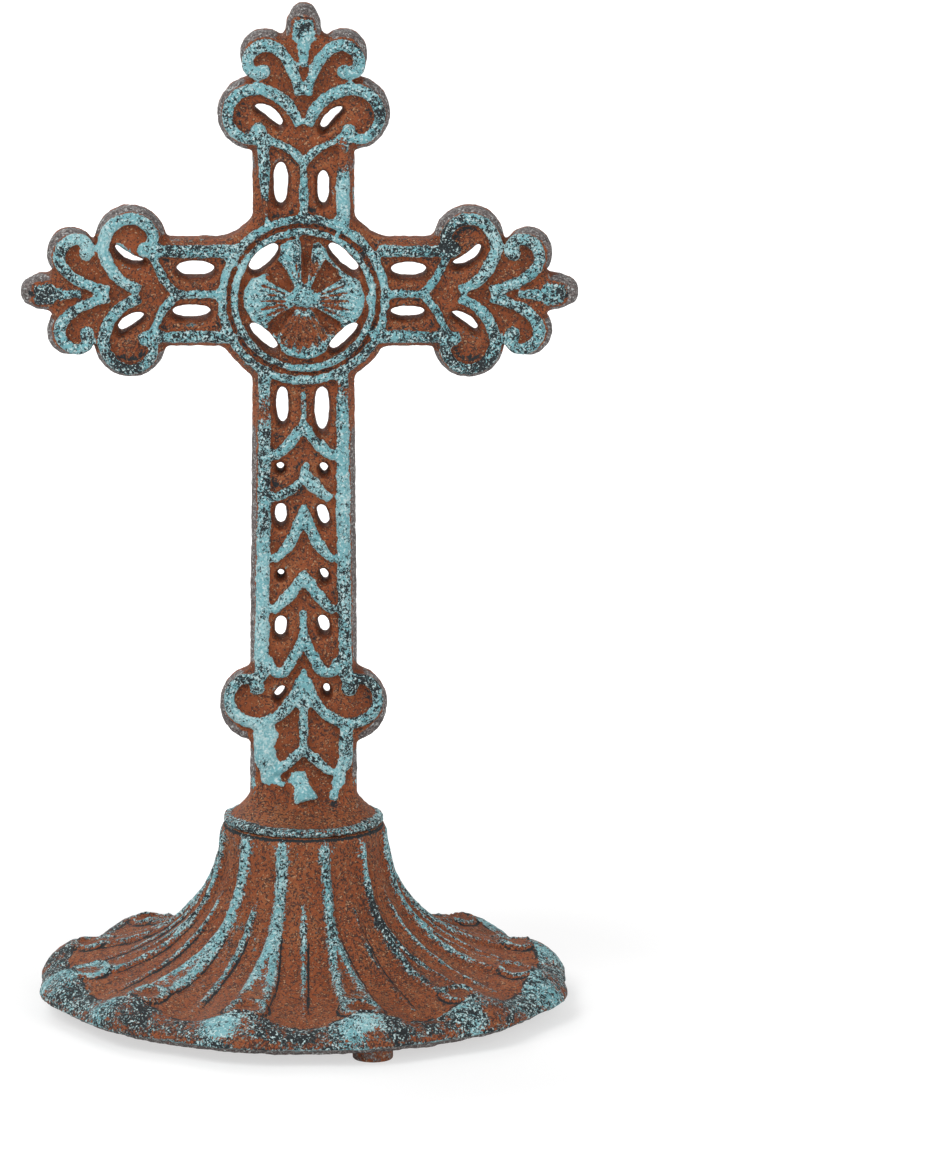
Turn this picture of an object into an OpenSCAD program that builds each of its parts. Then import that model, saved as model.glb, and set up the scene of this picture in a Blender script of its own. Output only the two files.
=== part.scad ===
// Painted cast-iron cross for a table, standing on a fluted round base.
// The cross stands in the XZ plane with its face toward -Y, and the base rests on z = 0.

/* [Cross] */
// Height of the ring's centre above the top of the base
ring_up = 134; // [124:1:165]
// From the ring's centre to the large lobes of the upper end
top_reach = 46.3; // [42:0.1:58]
// From the ring's centre to the large lobes of the left arm
left_reach = 43.2; // [40:0.1:55]
// From the ring's centre to the large lobes of the right arm
right_reach = 41.2; // [40:0.1:55]
// Height of the side arms' centre line above the ring's centre
arm_rise = 1.4; // [0:0.1:2]
// Width of the upper arm
neck_w = 25.2; // [22:0.1:30]
// Width of each side arm
arm_w = 27; // [22:0.1:31]
// Width of the stem at the ring
stem_w = 25; // [22:0.1:29]
// Width of the stem above the round foot
waist_w = 26.8; // [22:0.1:31]
// Depth from the back to the front of the flat plate
plate_t = 8; // [6:0.1:11]
// How far the raised ornament stands in front of the plate
relief_h = 2; // [1:0.1:3]
// Radius of the fillets where arms, lobes and ring meet
fillet_r = 1.6; // [0.5:0.1:2.5]

/* [Ring and flower] */
// Outer radius of the plate behind the ring
ring_plate_r = 23.3; // [22.5:0.1:26]
// Outer radius of the outer ridge
ring_r = 21.6; // [20:0.1:22.5]
// Width of the outer ridge
outer_ridge_w = 2.4; // [1.5:0.1:3]
// Width of the groove between the two ridges
groove_w = 1.2; // [0.8:0.1:2]
// Width of the inner ridge
inner_ridge_w = 2; // [1.5:0.1:2.5]
// Diameter of the boss in the middle of the flower
boss_d = 7.6; // [6:0.1:9]

/* [Lobed ends] */
// Radius of the large lobes
lobe_r = 8.9; // [7:0.1:10.5]
// Sideways place of the large lobes
lobe_side = 12.5; // [11:0.1:14]
// Radius of the small lobes
bud_r = 6; // [5:0.1:7]
// Sideways place of the small lobes
bud_side = 9.8; // [8.5:0.1:11.5]
// From the large lobes to the small ones
bud_out = 14.8; // [13:0.1:17]
// From the large lobes to the tip
tip_out = 27.3; // [25:0.1:32]
// Width of the bud at the tip
tip_w = 8.4; // [7:0.1:10]
// Height of the stem's lobes above the top of the base
low_lobe_up = 30.2; // [28:0.1:36]
// Radius of the stem's lobes
low_lobe_r = 9.2; // [7.5:0.1:10.5]
// Sideways place of the stem's lobes
low_lobe_side = 11.8; // [10.5:0.1:13]

/* [Openings and ribs] */
// Length of the long openings beside the ring
slot_len = 11; // [8:0.1:12]
// Width of the long openings
slot_w = 3.8; // [3:0.1:4.5]
// Sideways place of the openings from an arm's middle
slot_side = 5.3; // [5:0.1:6]
// Width of the ribs that run along the edges
rail_w = 3.2; // [2.4:0.1:3.6]
// Flat border outside those ribs
rail_in = 1; // [0.6:0.1:1.6]
// Width of the scrolled ribs
rib_w = 2.4; // [1.8:0.1:2.8]

/* [Base] */
// Height of the base with its feet
base_h = 47; // [40:0.5:57]
// Largest radius of the scalloped rim
rim_r = 68; // [60:0.5:82]
// How far the plain lip under the rim stands back from the lobes
lip_inset = 4; // [3:0.1:5]
// Radius at the top of the base
base_top_r = 20.4; // [17:0.1:24.5]
// Wall of the hollow casting
wall = 4; // [3:0.1:5]
// Number of lobes round the rim
lobes = 12; // [8:1:16]
// Half the rise from a valley of the rim to the crest of a lobe
rim_wave = 1.4; // [0.5:0.1:2.2]
// How far the valleys stand back from the lobes
scallop = 1.8; // [1:0.1:2.5]
// Height of the flutes' ribs
flute_h = 1; // [0.5:0.1:1.5]
// Diameter of each foot
foot_d = 10; // [8:0.5:12]
// Height of each foot below the lip
foot_h = 2.6; // [2:0.1:4]
// Turn of the first foot from the front
foot_turn = 17; // [0:1:59]
// Thickness of the cross's round foot
flange_t = 2; // [1.5:0.1:3]
// How far the round foot stands back from the edge of the base's top
flange_inset = 0.2; // [0:0.1:1]

/* [Hidden] */
$fn = 32;
ring_z = base_h + ring_up;
back_y = (plate_t + relief_h) / 2;
front_y = plate_t - back_y;
inner_r = ring_r - outer_ridge_w - groove_w - inner_ridge_w;
low_y = low_lobe_up - ring_up;
neck_bottom = low_y - low_lobe_r;
stem_run = -low_y - ring_r;
// Rows of openings down the stem, as parts of the way from the ring to the stem's lobes
stem_rows = [0.263, 0.412, 0.594, 0.761];
// Width and length of the opening in each of those rows
row_sizes = [[2.4, 2.8], [3.2, 6.4], [2.2, 2.6], [3.4, 6]];
// Tops of the stem's chevrons, on the same scale
chevron_tops = [0.12, 0.245, 0.37, 0.585, 0.72];
// How far the legs of each chevron fall
chevron_falls = [8.5, 7.5, 13, 8.5, 11];
flare_h = 9;
steps_round = 96;
bell_steps = 7;
rim_steps = 3;
inner_steps = 4;
crest_r = rim_r - 8;
crest_h = base_h * 0.215;
lip_r = rim_r - lip_inset;
lip_top = foot_h + 2;
lip_w = 6;

// Points of an arc about c
function arc(c, r, a0, a1, n) =
    [for (i = [0:n]) c + r * [cos(a0 + (a1 - a0) * i / n), sin(a0 + (a1 - a0) * i / n)]];

// Points of a curve that leaves a toward b and arrives at c
function bend(a, b, c, n = 4) =
    [for (i = [0:n]) let (t = i / n) pow(1 - t, 2) * a + 2 * t * (1 - t) * b + t * t * c];

// Left-hand unit normal of a path at its point i
function side_of(p, i) =
    let (d = p[min(i + 1, len(p) - 1)] - p[max(i - 1, 0)]) [-d[1], d[0]] / norm(d);

// Outline of a stroke along p, whose width goes from w0 through w1 to w2
function stroke_w(i, n, w0, w1, w2) =
    let (t = i / n) pow(1 - t, 2) * w0 + 2 * t * (1 - t) * (2 * w1 - (w0 + w2) / 2) + t * t * w2;

module stroke(p, w0, w1, w2) {
    n = len(p) - 1;
    left = [for (i = [0:n]) p[i] + side_of(p, i) * stroke_w(i, n, w0, w1, w2) / 2];
    right = [for (i = [n:-1:0]) p[i] - side_of(p, i) * stroke_w(i, n, w0, w1, w2) / 2];
    polygon(concat(left, right));
}

module both_sides() {
    children();
    mirror([1, 0]) children();
}

// A capsule-shaped opening, long along Y
module opening(at, w, long, turn = 0) {
    translate(at) rotate(turn) {
        square([w, max(long - w, 0.1)], center = true);
        for (s = [-1, 1]) translate([0, s * (long - w) / 2]) circle(d = w, $fn = 16);
    }
}

// Places one arm's end: y runs outward along the arm and 0 is at its large lobes
module on_arms() {
    translate([0, top_reach]) children();
    translate([-left_reach, arm_rise]) rotate(90) children();
    translate([right_reach, arm_rise]) rotate(-90) children();
}

module end_outline() {
    both_sides() {
        translate([lobe_side, 0]) circle(r = lobe_r);
        translate([bud_side, bud_out]) circle(r = bud_r);
    }
    polygon([[-lobe_side, -lobe_r * 0.6], [lobe_side, -lobe_r * 0.6], [bud_side, bud_out],
        [tip_w / 2, bud_out + bud_r], [-tip_w / 2, bud_out + bud_r], [-bud_side, bud_out]]);
    translate([0, tip_out - tip_w * 0.32]) circle(r = tip_w * 0.32, $fn = 24);
    polygon([[-tip_w / 2, bud_out], [tip_w / 2, bud_out], [tip_w / 2, tip_out - tip_w * 0.8],
        [tip_w * 0.3, tip_out - tip_w * 0.24], [-tip_w * 0.3, tip_out - tip_w * 0.24],
        [-tip_w / 2, tip_out - tip_w * 0.8]]);
}

module outline() {
    circle(r = ring_plate_r);
    on_arms() end_outline();
    translate([-neck_w / 2, 0]) square([neck_w, top_reach]);
    translate([-left_reach, arm_rise - arm_w / 2]) square([left_reach + right_reach, arm_w]);
    polygon([[-stem_w / 2, 0], [stem_w / 2, 0], [waist_w / 2, low_y + low_lobe_r],
        [waist_w / 2, -ring_up + flange_t / 2], [-waist_w / 2, -ring_up + flange_t / 2],
        [-waist_w / 2, low_y + low_lobe_r]]);
    both_sides() translate([low_lobe_side, low_y]) circle(r = low_lobe_r);
}

module end_openings() {
    both_sides() stroke(bend([12.6, 1.4], [8, 3.6], [4.8, -2.9], 8), 1, 3, 1.2);
}

module arm_openings(reach) {
    middle = (ring_r + reach - lobe_r * 0.6) / 2 - 1.5;
    both_sides() opening([slot_side, middle], slot_w, slot_len);
}

module openings() {
    on_arms() end_openings();
    arm_openings(top_reach);
    translate([0, arm_rise]) rotate(90) arm_openings(left_reach);
    translate([0, arm_rise]) rotate(-90) arm_openings(right_reach);
    for (a = [45:90:315]) rotate(a)
        stroke(arc([0, 0], inner_r - 2, -20, 20, 8), 1.2, 3.6, 1.2);
    both_sides() {
        opening([slot_side, -ring_r - slot_len / 2 - 1], slot_w, slot_len);
        for (k = [0:3])
            opening([slot_side, -ring_r - stem_rows[k] * stem_run], row_sizes[k][0], row_sizes[k][1]);
        opening([6.2, low_y + 2.3], 2, 4.6, -30);
    }
}

module end_ribs() {
    both_sides() {
        // large scroll and the ball that it ends in
        stroke(concat(bend([0.4, -3.4], [5, 4], [9.5, 6]), arc([12.3, -0.1], 6.7, 105, -85, 9)),
            rib_w, rib_w, rib_w);
        stroke(bend([12.9, -6.8], [10.6, -6.6], [10.6, -4.4]), rib_w, rib_w, rib_w);
        translate([10.9, -4.2]) circle(r = 2, $fn = 14);
        // small scroll and its ball
        stroke(concat(bend([0.5, 5.4], [2.6, 14], [5.7, 15.2]), arc([9.4, 12.9], 4.3, 138, -50, 7)),
            rib_w, rib_w, rib_w);
        translate([10.5, 10.4]) circle(r = 2.3, $fn = 14);
        // arm of the Y that stands on the ring
        stroke(bend([8.2, -6], [3, -6.8], [0, -11.6]), 1.6, rib_w, rib_w);
    }
    polygon([[0, 14.4], [tip_w * 0.38, tip_out - 8], [tip_w * 0.3, tip_out - 4], [0, tip_out - 1.5],
        [-tip_w * 0.3, tip_out - 4], [-tip_w * 0.38, tip_out - 8]]);
}

// Ribs along an arm: one inside each edge and one down the middle
module arm_ribs(reach, w) {
    rail_x = w / 2 - rail_in - rail_w / 2;
    both_sides() stroke([[rail_x, ring_r - 3], [rail_x, reach - 4.4]], rail_w, rail_w, rail_w);
    stroke([[0, ring_r - 1], [0, reach - 11]], rib_w, rib_w * 0.9, rib_w);
}

module stem_ribs() {
    top_x = stem_w / 2 - rail_in - rail_w / 2;
    low_x = waist_w / 2 - rail_in - rail_w / 2;
    both_sides() {
        stroke([[top_x, -ring_r + 3], [low_x, low_y + low_lobe_r - 3]], rail_w, rail_w, rail_w);
        for (k = [0:4]) {
            top = -ring_r - chevron_tops[k] * stem_run;
            stroke([[0, top], [4, top - chevron_falls[k] * 0.5], [top_x, top - chevron_falls[k]]],
                rib_w * 1.2, rib_w, rib_w * 0.8);
        }
    }
    for (k = [0, 2, 4]) {
        top = -ring_r - chevron_tops[k] * stem_run;
        stroke([[0, top + 5.5], [0, top - 1]], 1, rib_w * 0.8, rib_w);
    }
}

module low_ribs() {
    low_x = waist_w / 2 - rail_in - rail_w / 2;
    translate([0, low_y]) both_sides() {
        // scroll of the stem's lobes, its ball and the rib that runs on down the waist
        stroke(concat(bend([0.5, 6], [3.6, -2.6], [8.6, -4.2]), arc([12, 1.3], 6.3, -120, 80, 9)),
            rib_w, rib_w, rib_w);
        translate([11.3, 4.8]) circle(r = 2.3, $fn = 14);
        stroke(bend([low_x, -4], [low_x + 0.4, -12], [low_x - 2.6, -18]), rail_w, rail_w, 1.6);
        stroke([[0, -11.4], [3, -14.2], [7.4, -17]], rib_w, rib_w, 1.6);
    }
    translate([0, low_y]) {
        polygon([[0, 6.4], [3.4, -0.4], [0, -1.6], [-3.4, -0.4]]);
        stroke([[0, -1], [0, -12]], rib_w, rib_w * 0.7, rib_w);
        polygon([[0, -18], [2.6, -20.6], [1.6, -26], [-1.6, -26], [-2.6, -20.6]]);
    }
}

module ribs() {
    on_arms() end_ribs();
    arm_ribs(top_reach, neck_w);
    translate([0, arm_rise]) rotate(90) arm_ribs(left_reach, arm_w);
    translate([0, arm_rise]) rotate(-90) arm_ribs(right_reach, arm_w);
    stem_ribs();
    low_ribs();
}

// One fluted petal of the flower, pointing along Y
module petal() {
    polygon(concat([[-1.2, boss_d * 0.3]], arc([0, inner_r * 0.58], inner_r * 0.36, 200, -20, 8),
        [[1.2, boss_d * 0.3]]));
}

// Stands a flat shape up in the plane of the cross, from y = -near to y = -far
module upright(far, near) {
    translate([0, -far, ring_z]) rotate([90, 0, 0]) linear_extrude(near - far) children();
}

function flare_point(u, a) =
    let (spread = pow(1 - u, 2.4), power = 2 / (2 + 4 * u),
        hx = waist_w / 2 - 0.6 + (base_top_r - flange_inset - 1 - waist_w / 2 + 0.6) * spread,
        hy = back_y - 0.6 + (base_top_r - flange_inset - 1 - back_y + 0.6) * spread)
    [hx * sign(cos(a)) * pow(abs(cos(a)), power), hy * sign(sin(a)) * pow(abs(sin(a)), power)];

// Solid skinned over rings of points, each ring with the same number of points
module skin(rings) {
    count = len(rings[0]);
    last = len(rings) - 1;
    polyhedron(
        points = [for (ring = rings, p = ring) p],
        faces = concat(
            [[for (i = [0:count - 1]) i]],
            [for (k = [0:last - 1], i = [0:count - 1])
                let (j = (i + 1) % count, a = k * count, b = a + count)
                each [[a + i, b + j, a + j], [a + i, b + i, b + j]]],
            [[for (i = [count - 1:-1:0]) last * count + i]]));
}

// The stem spreads into its round foot
module flare() {
    skin([for (u = [0:0.125:1]) [for (a = [0:10:350])
        let (p = flare_point(u, a)) [p[0], p[1], base_h + flange_t * 0.7 + flare_h * u]]]);
}

module flange() {
    r = base_top_r - flange_inset;
    translate([0, 0, base_h]) rotate_extrude($fn = 96) {
        square([r - flange_t / 2, flange_t]);
        translate([r - flange_t / 2, flange_t / 2]) circle(d = flange_t, $fn = 24);
        translate([r - flange_t, 0]) square([flange_t - 0.3, flange_t / 2]);
    }
}

// Ridges of the ring, seen from the front
module ridges() {
    difference() {
        circle(r = ring_r);
        circle(r = ring_r - outer_ridge_w);
    }
    difference() {
        circle(r = inner_r + inner_ridge_w);
        circle(r = inner_r);
    }
}

module relief() {
    difference() {
        offset(r = 0.3, $fn = 8) offset(delta = -0.3) ribs();
        circle(r = ring_r - outer_ridge_w / 2);
    }
    ridges();
    circle(d = boss_d);
}

module cross() {
    color("#8c4a2c") union() {
        difference() {
            union() {
                upright(-back_y, front_y) offset(r = -fillet_r) offset(delta = fillet_r) outline();
                upright(front_y - 0.5, front_y + relief_h) offset(delta = 0.01) relief();
                upright(front_y - 0.4, front_y + relief_h * 0.7) offset(delta = 0.01)
                    for (a = [0:90:270]) rotate(a) petal();
            }
            upright(-back_y - 1, front_y + relief_h + 1) offset(delta = 0.01) openings();
        }
        flange();
        flare();
    }
}

// Cubic curve through its end points a and d, leaving toward b and arriving from c
function cubic(a, b, c, d, t) =
    pow(1 - t, 3) * a + 3 * pow(1 - t, 2) * t * b + 3 * (1 - t) * t * t * c + pow(t, 3) * d;

// 1 in the middle of a lobe and -1 in a valley; the front of the base is a valley
function lobe(a) = cos(lobes * (a + 90) + 180);

// Radius and height of the bell's outside at t, from its top to the crest of the rim
function bell(t, a) =
    let (p = cubic([base_top_r, base_h], [base_top_r, base_h * 0.45],
            [base_top_r + (crest_r - base_top_r) * 0.48, crest_h * 1.38], [crest_r, crest_h], t),
        rib = flute_h * pow((1 + lobe(a)) / 2, 4) * min(1, t * 6) * (1 - 0.6 * t))
    [p[0] + rib * (1 - t), p[1] + rib * t + rim_wave * lobe(a) * pow(t, 3)];

function rim(s, a) =
    let (edge = rim_r - scallop * (1 - lobe(a)) / 2, top = crest_h + rim_wave * lobe(a))
    [crest_r + (edge - crest_r) * sin(90 * s), lip_top + (top - lip_top) * cos(90 * s)];

// The hollow's side, from the lip up to its roof
function hollow(t) =
    cubic([lip_r - lip_w, foot_h], [base_top_r + (crest_r - base_top_r) * 0.42, crest_h * 1.3 - wall],
        [base_top_r - wall, base_h * 0.42 - wall], [base_top_r - wall, base_h - wall], t);

function base_ring(k, a) =
    k <= bell_steps ? bell(k / bell_steps, a)
    : k <= bell_steps + rim_steps ? rim((k - bell_steps) / rim_steps, a)
    : k == bell_steps + rim_steps + 1 ? [lip_r, lip_top]
    : k == bell_steps + rim_steps + 2 ? [lip_r, foot_h]
    : hollow((k - bell_steps - rim_steps - 3) / inner_steps);

module base() {
    color("#8c4a2c") union() {
        skin([for (k = [0:bell_steps + rim_steps + 3 + inner_steps])
            [for (i = [0:steps_round - 1])
                let (a = -360 * i / steps_round, p = base_ring(k, a)) [p[0] * cos(a), p[0] * sin(a), p[1]]]]);
        for (k = [0:2]) rotate(foot_turn - 90 + 120 * k)
            translate([lip_r - 0.5 - foot_d / 2, 0, 0]) cylinder(d = foot_d, h = foot_h + 2);
    }
}

cross();
base();
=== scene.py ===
"""Looks of a painted cast-iron table cross: the openwork cross and the fluted base that it stands on."""

import math

import bpy
import numpy as np
from mathutils import Matrix, Vector


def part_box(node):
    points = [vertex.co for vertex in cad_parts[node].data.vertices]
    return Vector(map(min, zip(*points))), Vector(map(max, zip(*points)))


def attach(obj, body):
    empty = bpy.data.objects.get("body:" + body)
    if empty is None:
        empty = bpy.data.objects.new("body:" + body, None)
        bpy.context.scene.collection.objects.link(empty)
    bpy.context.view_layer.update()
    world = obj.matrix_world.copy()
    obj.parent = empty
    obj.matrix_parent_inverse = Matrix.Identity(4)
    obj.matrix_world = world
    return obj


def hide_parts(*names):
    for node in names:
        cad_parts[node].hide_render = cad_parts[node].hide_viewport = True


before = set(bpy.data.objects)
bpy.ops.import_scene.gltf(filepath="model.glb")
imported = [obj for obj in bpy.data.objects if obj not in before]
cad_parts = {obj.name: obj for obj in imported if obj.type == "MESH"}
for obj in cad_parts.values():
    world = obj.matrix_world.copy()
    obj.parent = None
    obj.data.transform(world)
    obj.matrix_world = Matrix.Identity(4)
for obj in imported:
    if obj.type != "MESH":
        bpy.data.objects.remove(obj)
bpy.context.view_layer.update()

bl_info = {
    "name": "Cast-iron table cross",
    "version": (1, 0, 0),
    "blender": (4, 5, 0),
    "location": "View3D > Sidebar > Table Cross",
    "description": "Models an openwork cast-iron cross on a fluted base, with rust-brown paint and verdigris",
    "category": "Object",
}

CROSS_LOW, CROSS_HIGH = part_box("cross")
BASE_LOW, BASE_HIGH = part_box("base")


def srgb(code):
    """Linear RGBA of an sRGB hex colour."""
    parts = [int(code[i : i + 2], 16) / 255 for i in (1, 3, 5)]
    return [c / 12.92 if c <= 0.04045 else ((c + 0.055) / 1.055) ** 2.4 for c in parts] + [1.0]


# ---------------------------------------------------------------------------------------------
# Sizes and colours that a user would change
# ---------------------------------------------------------------------------------------------


def length(name, description, default):
    return bpy.props.FloatProperty(
        name=name, description=description, default=default, min=0.0, precision=4, unit="LENGTH"
    )


def colour(name, description, code):
    return bpy.props.FloatVectorProperty(
        name=name, description=description, default=srgb(code), size=4, min=0, max=1, subtype="COLOR"
    )


class CrossSizes(bpy.types.PropertyGroup):
    ring_up: length("Ring height", "Height of the ring's centre above the base", 0.134)
    ring_r: length("Ring radius", "Outer radius of the outer ridge", 0.0216)
    plate_r: length("Ring plate radius", "Radius of the plate behind the ring", 0.0233)
    top_reach: length("Top reach", "From the ring's centre to the upper end's large lobes", 0.0463)
    left_reach: length("Left reach", "From the ring's centre to the left end's large lobes", 0.0432)
    right_reach: length("Right reach", "From the ring's centre to the right end's large lobes", 0.0412)
    arm_rise: length("Arm rise", "Height of the side arms' middle above the ring's centre", 0.0014)
    neck_w: length("Neck width", "Width of the upper arm", 0.0252)
    arm_w: length("Arm width", "Width of each side arm", 0.027)
    stem_w: length("Stem width", "Width of the stem at the ring", 0.025)
    waist_w: length("Waist width", "Width of the stem above the round foot", 0.0268)
    back: length("Back", "How far the plate's back stands behind the middle", 0.005)
    face: length("Face", "How far the plate's face stands in front of the middle", 0.003)
    relief: length("Relief", "How far the ribs stand in front of the plate's face", 0.002)
    rib_w: length("Rib width", "Width of the scrolled ribs", 0.0029)
    rail_w: length("Rail width", "Width of the ribs along the edges", 0.0037)
    lobe_r: length("Lobe radius", "Radius of the large lobes", 0.0089)
    bud_r: length("Bud radius", "Radius of the small lobes", 0.006)
    low_lobe_r: length("Stem lobe radius", "Radius of the stem's lobes", 0.0092)
    lump: length("Lumps", "How uneven the sand casting is", 0.00028)
    grain: length("Mesh size", "Size of the finest detail that the mesh holds", 0.0005)


class BaseSizes(bpy.types.PropertyGroup):
    rim_r: length("Rim radius", "Largest radius of the scalloped rim", 0.068)
    lip_inset: length("Lip inset", "How far the plain lip stands back from the rim", 0.004)
    top_r: length("Top radius", "Radius at the top of the base", 0.0204)
    wall: length("Wall", "Wall of the hollow casting", 0.004)
    lobes: bpy.props.IntProperty(
        name="Lobes", description="Number of lobes round the rim", default=12, min=6, max=24
    )
    wave: length("Rim wave", "Half the rise from a valley of the rim to a lobe", 0.002)
    scallop: length("Scallop", "How far the valleys stand back from the lobes", 0.0016)
    rib_h: length("Flute height", "Height of the flutes' ribs", 0.0011)
    rib_w: length("Flute width", "Width of the flutes' ribs", 0.0026)
    foot_d: length("Foot diameter", "Diameter of each foot", 0.01)
    foot_h: length("Foot height", "Height of each foot below the lip", 0.0026)
    foot_turn: bpy.props.FloatProperty(
        name="Foot turn",
        description="Turn of the first foot from the front",
        default=math.radians(17),
        unit="ROTATION",
    )


class FinishColours(bpy.types.PropertyGroup):
    rust: colour("Rust brown", "Paint on the flat and sunken places", "#91481F")
    rust_light: colour("Worn rust", "Rust brown where it is rubbed lighter", "#A6693F")
    # painted shade: a darker rust brown for the openings and hollows, where shade falls
    rust_in_painted_shade: colour("Deep rust", "Rust brown inside the openings and hollows", "#7C3B12")
    rust_dark_grain: colour("Dark rust grain", "Dark grains in the rust brown", "#3C1E14")
    rust_pale_grain: colour("Pale rust grain", "Pale grains in the rust brown", "#C08F68")
    verdigris: colour("Verdigris", "Turquoise brushed on the raised places", "#72AEB6")
    verdigris_pale: colour("Pale verdigris", "Chalky bloom on the verdigris", "#B2D8DB")
    verdigris_dark: colour("Deep verdigris", "Thin verdigris over the dark iron", "#47727B")
    chalk: colour("Chalk", "Palest flecks on the verdigris", "#C6DEDF")
    # also the colour of the dark lines, which are partly painted shade
    iron: colour("Bare iron", "Dark iron that shows through as flecks", "#131C20")
    dust: colour("Grey edge", "Worn grey along the outer edges", "#867B78")
    dust_dark_grain: colour("Dark grey grain", "Dark grains in the grey edge", "#4A4443")
    dust_pale_grain: colour("Pale grey grain", "Pale grains in the grey edge", "#B9BDBB")


class StageSettings(bpy.types.PropertyGroup):
    floor: colour("Floor", "Paper that the cross stands on", "#E9E9E9")
    floor_seen: colour("Seen floor", "The paper as the camera sees it, before its glow", "#B0B0B0")
    camera_far: length("Camera distance", "From the cross's middle to the camera, along the floor", 2.06)
    camera_up: length("Camera height", "Height of the camera above the floor", 0.53)
    aim_up: length("Aim height", "Height of the point that the camera looks at", 0.132)
    lens: bpy.props.FloatProperty(
        name="Lens", description="Focal length in millimetres", default=261.5, min=50, unit="CAMERA"
    )


# ---------------------------------------------------------------------------------------------
# Modelling helpers: the castings are shaped in millimetres and brought to metres at the end
# ---------------------------------------------------------------------------------------------

# a piece with more triangles than this is thinned
MOST_TRIANGLES = 190000


def mm(value):
    return value * 1000.0


def deselect():
    if bpy.context.object and bpy.context.object.mode != "OBJECT":
        bpy.ops.object.mode_set(mode="OBJECT")
    bpy.ops.object.select_all(action="DESELECT")


def disc(x, z, r, near, far, near_r=None, n=40):
    """A round boss across the plate, from y = far behind to y = near in front."""
    deselect()
    bpy.ops.mesh.primitive_cone_add(
        vertices=n,
        radius1=r,
        radius2=r if near_r is None else near_r,
        depth=far - near,
        location=(x, (near + far) / 2, z),
        rotation=(math.pi / 2, 0, 0),
    )
    return settled(bpy.context.object)


def settled(piece):
    """Brings an object's place, turn and scale into its mesh."""
    bpy.context.view_layer.update()
    piece.data.transform(piece.matrix_world)
    piece.matrix_world = Matrix.Identity(4)
    return piece


def slab(points, near, far):
    """A flat piece with the outline points (x, z), extruded from its face to its back."""
    deselect()
    bpy.ops.mesh.primitive_circle_add(vertices=len(points), radius=1, fill_type="NGON")
    piece = bpy.context.object
    for vertex, (x, z) in zip(piece.data.vertices, points):
        vertex.co = (x, near, z)
    bpy.ops.object.mode_set(mode="EDIT")
    bpy.ops.mesh.select_all(action="SELECT")
    bpy.ops.mesh.extrude_region_move(TRANSFORM_OT_translate={"value": (0, far - near, 0)})
    bpy.ops.mesh.select_all(action="SELECT")
    bpy.ops.mesh.normals_make_consistent(inside=False)
    bpy.ops.object.mode_set(mode="OBJECT")
    return piece


def rib(points, widths, crest):
    """A rounded rib along points (x, z), with the widths, and the crest's y or ys, spread along it."""
    deselect()
    bpy.ops.curve.primitive_bezier_curve_add()
    piece = bpy.context.object
    curve = piece.data
    curve.bevel_depth = 1
    curve.bevel_resolution = 3
    curve.resolution_u = 5
    curve.use_fill_caps = True
    spline = curve.splines[0]
    spline.bezier_points.add(len(points) - 2)
    along, crests = np.linspace(0, 1, len(points)), np.atleast_1d(crest)
    wide = np.interp(along, np.linspace(0, 1, len(widths)), widths)
    front = np.interp(along, np.linspace(0, 1, len(crests)), crests)
    for knot, (x, z), w, y in zip(spline.bezier_points, points, wide, front):
        knot.co = (x, y + w / 2, z)
        knot.handle_left_type = knot.handle_right_type = "AUTO"
        knot.radius = w / 2
    bpy.ops.object.convert(target="MESH")
    return settled(bpy.context.object)


def ball(x, z, wide, tall, crest, deep, turn=0.0):
    """A domed knob, as deep as given behind its crest."""
    deselect()
    bpy.ops.mesh.primitive_uv_sphere_add(
        segments=24, ring_count=14, radius=1, location=(x, crest + deep, z)
    )
    piece = bpy.context.object
    piece.scale = (wide / 2, deep, tall / 2)
    piece.rotation_euler = (0, turn, 0)
    return settled(piece)


def hole(x, z, wide, long, turn=0.0, bow=0.0, flare=1.8):
    """A cutter for an opening, long along z before its turn in degrees, with a funnel's mouth at the face."""
    # where the funnel's mouth and throat and the cutter's far end stand across the plate
    mouth, throat, end = -6.0, -0.6, 7
    piece = disc(0, 0, 1, throat, end, n=32)
    bpy.ops.object.mode_set(mode="EDIT")
    bpy.ops.mesh.select_all(action="DESELECT")
    bpy.ops.object.mode_set(mode="OBJECT")
    for vertex in piece.data.vertices:
        vertex.select = vertex.co.y < throat + 0.1
    bpy.ops.object.mode_set(mode="EDIT")
    bpy.ops.mesh.extrude_region_move(TRANSFORM_OT_translate={"value": (0, mouth - throat, 0)})
    bpy.ops.object.mode_set(mode="OBJECT")
    points = coords(piece.data)
    grow = np.interp(points[:, 1], [mouth, throat, end], [flare, 0.15, -0.05])
    side, up = (np.sign(points[:, k]) * np.abs(points[:, k]) ** 0.85 for k in (0, 2))
    points[:, 0] = side * (wide / 2 + grow) + bow * (1 - up**2)
    points[:, 2] = up * (long / 2 + grow)
    put(piece.data, points)
    piece.data.transform(Matrix.Translation((x, 0, z)) @ Matrix.Rotation(math.radians(turn), 4, "Y"))
    return piece


def joined(pieces, name):
    deselect()
    for piece in pieces:
        piece.select_set(True)
    bpy.context.view_layer.objects.active = pieces[0]
    if len(pieces) > 1:
        bpy.ops.object.join()
    piece = bpy.context.object
    piece.name = piece.data.name = name
    return piece


def copied(piece, matrix):
    """A copy with a mesh of its own, put through the matrix. A mirrored one is turned right side out."""
    twin = piece.copy()
    twin.data = piece.data.copy()
    bpy.context.scene.collection.objects.link(twin)
    twin.data.transform(matrix)
    if matrix.determinant() < 0:
        twin.data.flip_normals()
    return twin


def both_sides(pieces):
    """The pieces and their mirror images across x = 0."""
    flip = Matrix.Scale(-1, 4, (1, 0, 0))
    return pieces + [copied(piece, flip) for piece in pieces]


def applied(piece, kind, **settings):
    """Adds a modifier with the settings and applies it."""
    deselect()
    piece.select_set(True)
    bpy.context.view_layer.objects.active = piece
    modifier = piece.modifiers.new(kind.title(), kind)
    for key, value in settings.items():
        setattr(modifier, key, value)
    bpy.ops.object.modifier_apply(modifier=modifier.name)


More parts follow.
